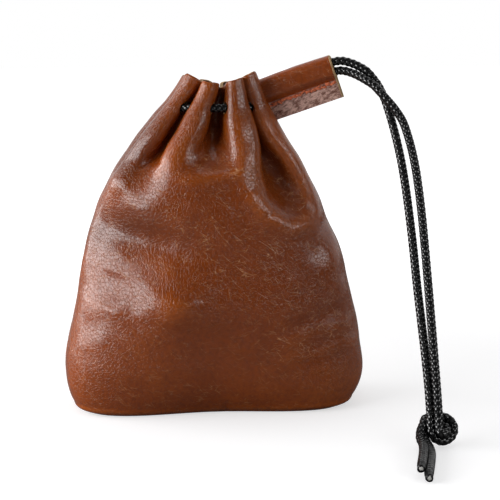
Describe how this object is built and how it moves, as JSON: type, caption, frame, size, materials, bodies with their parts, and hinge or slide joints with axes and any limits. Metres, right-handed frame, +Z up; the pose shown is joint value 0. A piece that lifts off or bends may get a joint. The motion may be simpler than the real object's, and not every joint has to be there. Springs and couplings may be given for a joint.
{
  "type": "drawstring pouch",
  "caption": "Soft leather drawstring pouch that stands on its base, its pleated mouth drawn shut by a braided cord that runs out through a stitched leather keeper to a knot.",
  "frame": {"origin": "on the floor under the middle of the bag", "axes": "+Z up; the bag's broad front faces -Y; the cord leaves at the right, towards +X"},
  "size_m": [0.1456, 0.1413, 0.1414],
  "materials": {
    "pouch_leather": "glossy red-brown pull-up leather with fine creases, lighter and more orange where it is stretched",
    "keeper_leather": "the same leather, polished on the rounded fold and rough on the flat edge, with orange-brown stitches",
    "waxed_cord": "black waxed braid with bright specks, smooth and sealed at the cut ends"
  },
  "bodies": {
    "root": {"pouch_bag": "pouch_leather", "cord_keeper": "keeper_leather", "drawcord_loop": "waxed_cord", "cord_strand_back": "waxed_cord", "cord_strand_front": "waxed_cord", "end_knot": "waxed_cord"}
  },
  "joints": []
}
